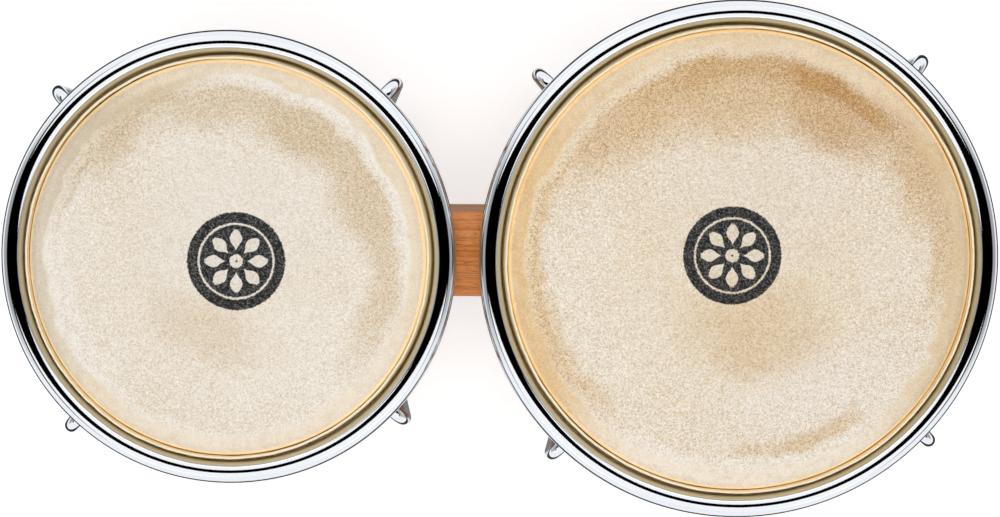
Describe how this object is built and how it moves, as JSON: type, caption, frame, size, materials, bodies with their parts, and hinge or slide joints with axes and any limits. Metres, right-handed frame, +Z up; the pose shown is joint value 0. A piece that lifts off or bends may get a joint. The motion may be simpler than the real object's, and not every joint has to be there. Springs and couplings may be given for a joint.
{
  "type": "bongo drums",
  "caption": "Pair of bongo drums: a small and a large wooden shell joined by a block, with rawhide heads under chrome rims tuned by hooked rods and nuts.",
  "frame": {"origin": "on the floor, at the centre of the pair's bounding box", "axes": "+X from the small drum to the large drum, +Y to the back, +Z up"},
  "size_m": [0.4382, 0.2284, 0.1632],
  "materials": {
    "chrome": "polished chrome plate",
    "zinc_steel": "zinc-plated steel",
    "brass": "plain brass",
    "shell_wood": "lacquered orange-brown hardwood",
    "block_wood": "satin orange-brown hardwood",
    "rawhide": "natural rawhide, matt, with short fibres"
  },
  "bodies": {
    "root": {"center_block": "block_wood", "macho_shell_staves": "shell_wood", "macho_bottom_ring": "chrome", "macho_ring_ears": "chrome", "macho_skin": "rawhide", "macho_washers": "zinc_steel", "macho_backing_plate": "zinc_steel", "macho_mounting_bolts": "zinc_steel", "macho_lock_washers": "zinc_steel", "macho_block_inserts": "brass", "hembra_shell_staves": "shell_wood", "hembra_bottom_ring": "chrome", "hembra_ring_ears": "chrome", "hembra_skin": "rawhide", "hembra_washers": "zinc_steel", "hembra_backing_plate": "zinc_steel", "hembra_mounting_bolts": "zinc_steel", "hembra_lock_washers": "zinc_steel", "hembra_block_inserts": "brass"},
    "macho_tension_ring": {"macho_rim": "chrome", "macho_flesh_hoop": "zinc_steel"},
    "macho_rod_1": {"macho_rod_1": "chrome"},
    "macho_nut_1": {"macho_nut_1": "chrome"},
    "macho_rod_2": {"macho_rod_2": "chrome"},
    "macho_nut_2": {"macho_nut_2": "chrome"},
    "macho_rod_3": {"macho_rod_3": "chrome"},
    "macho_nut_3": {"macho_nut_3": "chrome"},
    "macho_rod_4": {"macho_rod_4": "chrome"},
    "macho_nut_4": {"macho_nut_4": "chrome"},
    "hembra_tension_ring": {"hembra_rim": "chrome", "hembra_flesh_hoop": "zinc_steel"},
    "hembra_rod_1": {"hembra_rod_1": "chrome"},
    "hembra_nut_1": {"hembra_nut_1": "chrome"},
    "hembra_rod_2": {"hembra_rod_2": "chrome"},
    "hembra_nut_2": {"hembra_nut_2": "chrome"},
    "hembra_rod_3": {"hembra_rod_3": "chrome"},
    "hembra_nut_3": {"hembra_nut_3": "chrome"},
    "hembra_rod_4": {"hembra_rod_4": "chrome"},
    "hembra_nut_4": {"hembra_nut_4": "chrome"}
  },
  "joints": [
    {"name": "macho_nut_1_turn", "type": "hinge", "parent": "root", "child": "macho_nut_1", "pos_m": [-0.05904, 0.06329, 0.0215], "axis": [0.1017, 0.1072, 0.989], "range_deg": [-1095, 1459]},
    {"name": "macho_rod_1_draw", "type": "slide", "parent": "root", "child": "macho_rod_1", "axis": [-0.1017, -0.1072, -0.989], "range_m": [-0.00305, 0.00406]},
    {"name": "macho_nut_2_turn", "type": "hinge", "parent": "root", "child": "macho_nut_2", "pos_m": [-0.18239, 0.06006, 0.0215], "axis": [-0.1072, 0.1017, 0.989], "range_deg": [-1095, 1459]},
    {"name": "macho_rod_2_draw", "type": "slide", "parent": "root", "child": "macho_rod_2", "axis": [0.1072, -0.1017, -0.989], "range_m": [-0.00305, 0.00406]},
    {"name": "macho_nut_3_turn", "type": "hinge", "parent": "root", "child": "macho_nut_3", "pos_m": [-0.17916, -0.06329, 0.0215], "axis": [-0.1017, -0.1072, 0.989], "range_deg": [-1095, 1459]},
    {"name": "macho_rod_3_draw", "type": "slide", "parent": "root", "child": "macho_rod_3", "axis": [0.1017, 0.1072, -0.989], "range_m": [-0.00305, 0.00406]},
    {"name": "macho_nut_4_turn", "type": "hinge", "parent": "root", "child": "macho_nut_4", "pos_m": [-0.05581, -0.06006, 0.0215], "axis": [0.1072, -0.1017, 0.989], "range_deg": [-1095, 1459]},
    {"name": "macho_rod_4_draw", "type": "slide", "parent": "root", "child": "macho_rod_4", "axis": [-0.1072, 0.1017, -0.989], "range_m": [-0.00305, 0.00406]},
    {"name": "macho_tuning", "type": "slide", "parent": "root", "child": "macho_tension_ring", "axis": [0, 0, -1], "range_m": [-0.003, 0.004], "deforming": ["macho_skin"]},
    {"name": "hembra_nut_1_turn", "type": "hinge", "parent": "root", "child": "hembra_nut_1", "pos_m": [0.1737, 0.07455, 0.0215], "axis": [0.1002, 0.1086, 0.989], "range_deg": [-1095, 1459]},
    {"name": "hembra_rod_1_draw", "type": "slide", "parent": "root", "child": "hembra_rod_1", "axis": [-0.1002, -0.1086, -0.989], "range_m": [-0.00305, 0.00406]},
    {"name": "hembra_nut_2_turn", "type": "hinge", "parent": "root", "child": "hembra_nut_2", "pos_m": [0.03035, 0.0688, 0.0215], "axis": [-0.1086, 0.1002, 0.989], "range_deg": [-1095, 1459]},
    {"name": "hembra_rod_2_draw", "type": "slide", "parent": "root", "child": "hembra_rod_2", "axis": [0.1086, -0.1002, -0.989], "range_m": [-0.00305, 0.00406]},
    {"name": "hembra_nut_3_turn", "type": "hinge", "parent": "root", "child": "hembra_nut_3", "pos_m": [0.0361, -0.07455, 0.0215], "axis": [-0.1002, -0.1086, 0.989], "range_deg": [-1095, 1459]},
    {"name": "hembra_rod_3_draw", "type": "slide", "parent": "root", "child": "hembra_rod_3", "axis": [0.1002, 0.1086, -0.989], "range_m": [-0.00305, 0.00406]},
    {"name": "hembra_nut_4_turn", "type": "hinge", "parent": "root", "child": "hembra_nut_4", "pos_m": [0.17945, -0.0688, 0.0215], "axis": [0.1086, -0.1002, 0.989], "range_deg": [-1095, 1459]},
    {"name": "hembra_rod_4_draw", "type": "slide", "parent": "root", "child": "hembra_rod_4", "axis": [-0.1086, 0.1002, -0.989], "range_m": [-0.00305, 0.00406]},
    {"name": "hembra_tuning", "type": "slide", "parent": "root", "child": "hembra_tension_ring", "axis": [0, 0, -1], "range_m": [-0.003, 0.004], "deforming": ["hembra_skin"]}
  ],
  "couplings": [
    {"joint": "macho_nut_1_turn", "follows": "macho_tuning", "rad_per_m": 6353},
    {"joint": "macho_rod_1_draw", "follows": "macho_tuning", "ratio": 1.0111},
    {"joint": "macho_nut_2_turn", "follows": "macho_tuning", "rad_per_m": 6353},
    {"joint": "macho_rod_2_draw", "follows": "macho_tuning", "ratio": 1.0111},
    {"joint": "macho_nut_3_turn", "follows": "macho_tuning", "rad_per_m": 6353},
    {"joint": "macho_rod_3_draw", "follows": "macho_tuning", "ratio": 1.0111},
    {"joint": "macho_nut_4_turn", "follows": "macho_tuning", "rad_per_m": 6353},
    {"joint": "macho_rod_4_draw", "follows": "macho_tuning", "ratio": 1.0111},
    {"joint": "hembra_nut_1_turn", "follows": "hembra_tuning", "rad_per_m": 6353},
    {"joint": "hembra_rod_1_draw", "follows": "hembra_tuning", "ratio": 1.0111},
    {"joint": "hembra_nut_2_turn", "follows": "hembra_tuning", "rad_per_m": 6353},
    {"joint": "hembra_rod_2_draw", "follows": "hembra_tuning", "ratio": 1.0111},
    {"joint": "hembra_nut_3_turn", "follows": "hembra_tuning", "rad_per_m": 6353},
    {"joint": "hembra_rod_3_draw", "follows": "hembra_tuning", "ratio": 1.0111},
    {"joint": "hembra_nut_4_turn", "follows": "hembra_tuning", "rad_per_m": 6353},
    {"joint": "hembra_rod_4_draw", "follows": "hembra_tuning", "ratio": 1.0111}
  ]
}
